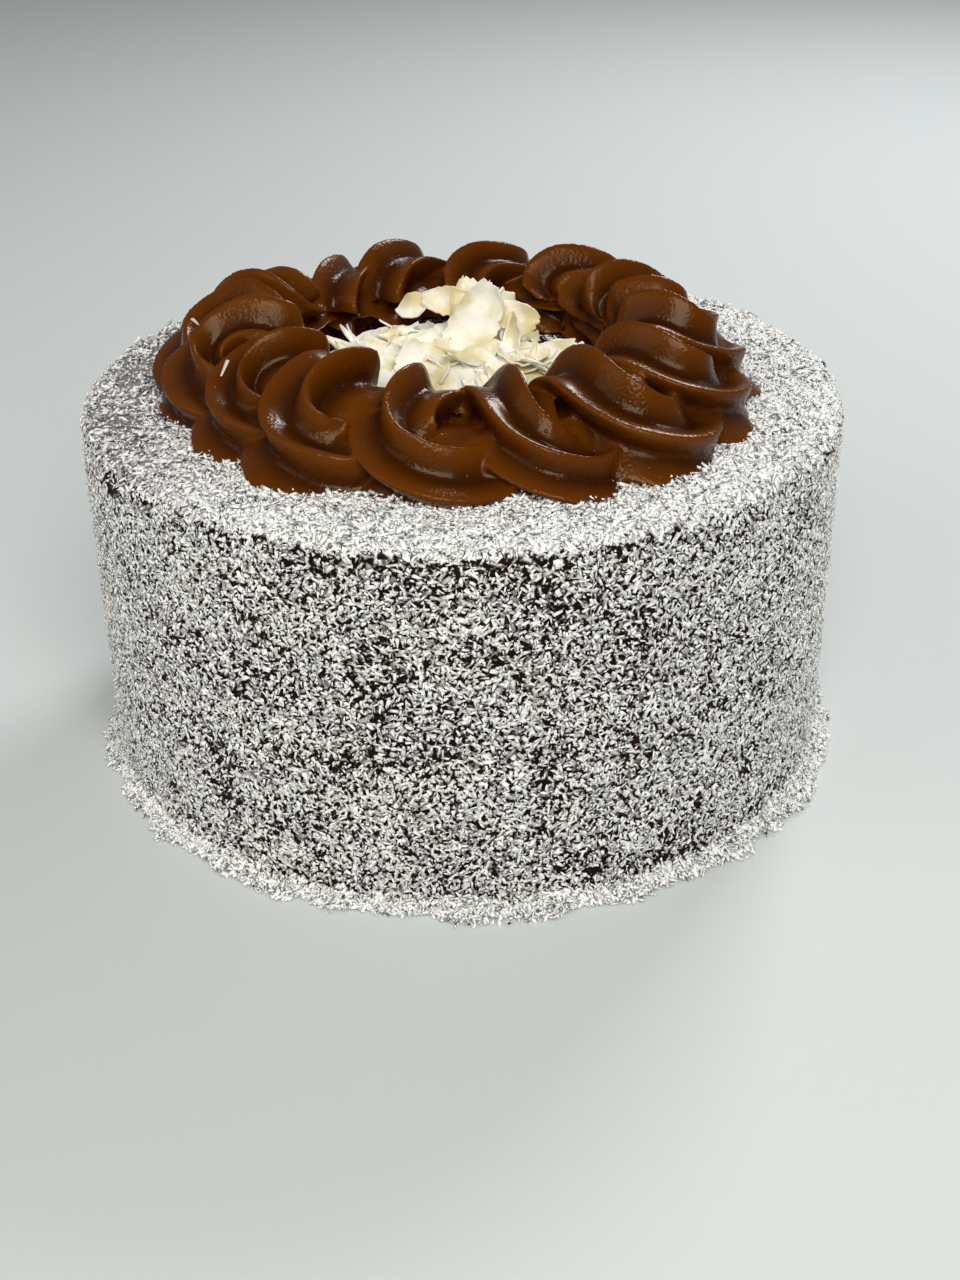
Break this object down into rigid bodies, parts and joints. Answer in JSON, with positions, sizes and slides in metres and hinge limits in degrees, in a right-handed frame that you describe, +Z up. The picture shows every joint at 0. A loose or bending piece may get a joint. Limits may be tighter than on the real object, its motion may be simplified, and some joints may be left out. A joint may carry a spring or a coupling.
{
  "type": "coconut cake",
  "caption": "Tall round chocolate cake coated in coconut flakes, with a looped ring of piped caramel cream on top and a heap of curled coconut chips inside it",
  "frame": {"origin": "middle of the cake's flat underside", "axes": "+Z up; -Y towards the side that the picture shows; +X to the right as seen in the picture"},
  "size_m": [0.2074, 0.2071, 0.1268],
  "materials": {
    "coconut_coat": "rough flaky coat",
    "caramel_cream": "satin to glossy, moist",
    "coconut_flesh": "dry, slightly waxy"
  },
  "bodies": {
    "root": {"cake_body": "coconut_coat", "caramel_ring": "caramel_cream", "coconut_chips": "coconut_flesh"}
  },
  "joints": []
}
